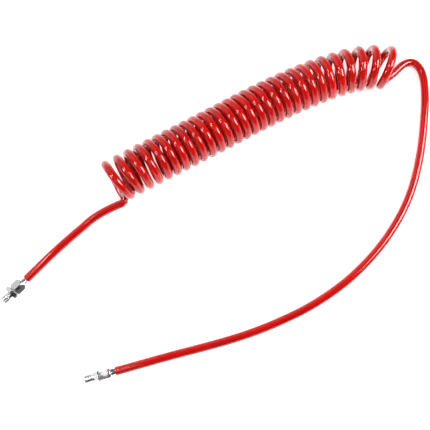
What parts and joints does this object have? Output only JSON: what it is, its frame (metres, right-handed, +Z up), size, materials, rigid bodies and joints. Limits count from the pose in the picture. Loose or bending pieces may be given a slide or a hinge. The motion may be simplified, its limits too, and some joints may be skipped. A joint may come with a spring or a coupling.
{
  "type": "coiled air hose",
  "caption": "Spiral-wound compressed-air hose with one long and one short straight tail, each ending in a swivel fitting with a male pipe thread.",
  "frame": {"origin": "middle of the footprint, on the surface that the hose lies on", "axes": "+Z up from that surface; +X along the longest extent, from the two fittings towards the coil's long-tail end; +Y towards the coil"},
  "size_m": [0.4097, 0.3207, 0.0444],
  "materials": {
    "hose_plastic": "gloss",
    "nickel_plate": "polished",
    "spring_steel": "satin",
    "washer_plastic": "satin",
    "nitrile": "matte"
  },
  "bodies": {
    "hose": {"hose_coil": "hose_plastic", "hose_long_tail": "hose_plastic", "hose_short_tail": "hose_plastic", "long_end_stem": "nickel_plate", "long_end_thrust_washer": "washer_plastic", "long_end_seal_ring": "nitrile", "long_end_retaining_ring": "spring_steel", "short_end_stem": "nickel_plate", "short_end_thrust_washer": "washer_plastic", "short_end_seal_ring": "nitrile", "short_end_retaining_ring": "spring_steel"},
    "long_end_threaded_body": {"long_end_threaded_body": "nickel_plate"},
    "short_end_threaded_body": {"short_end_threaded_body": "nickel_plate"}
  },
  "joints": [
    {"name": "long_end_swivel", "type": "hinge", "parent": "hose", "child": "long_end_threaded_body", "pos_m": [-0.0977, -0.1486, 0.007], "axis": [-0.965, -0.2622, 0], "continuous": true},
    {"name": "short_end_swivel", "type": "hinge", "parent": "hose", "child": "short_end_threaded_body", "pos_m": [-0.183, -0.0645, 0.0076], "axis": [-0.7018, -0.7123, 0], "continuous": true}
  ]
}
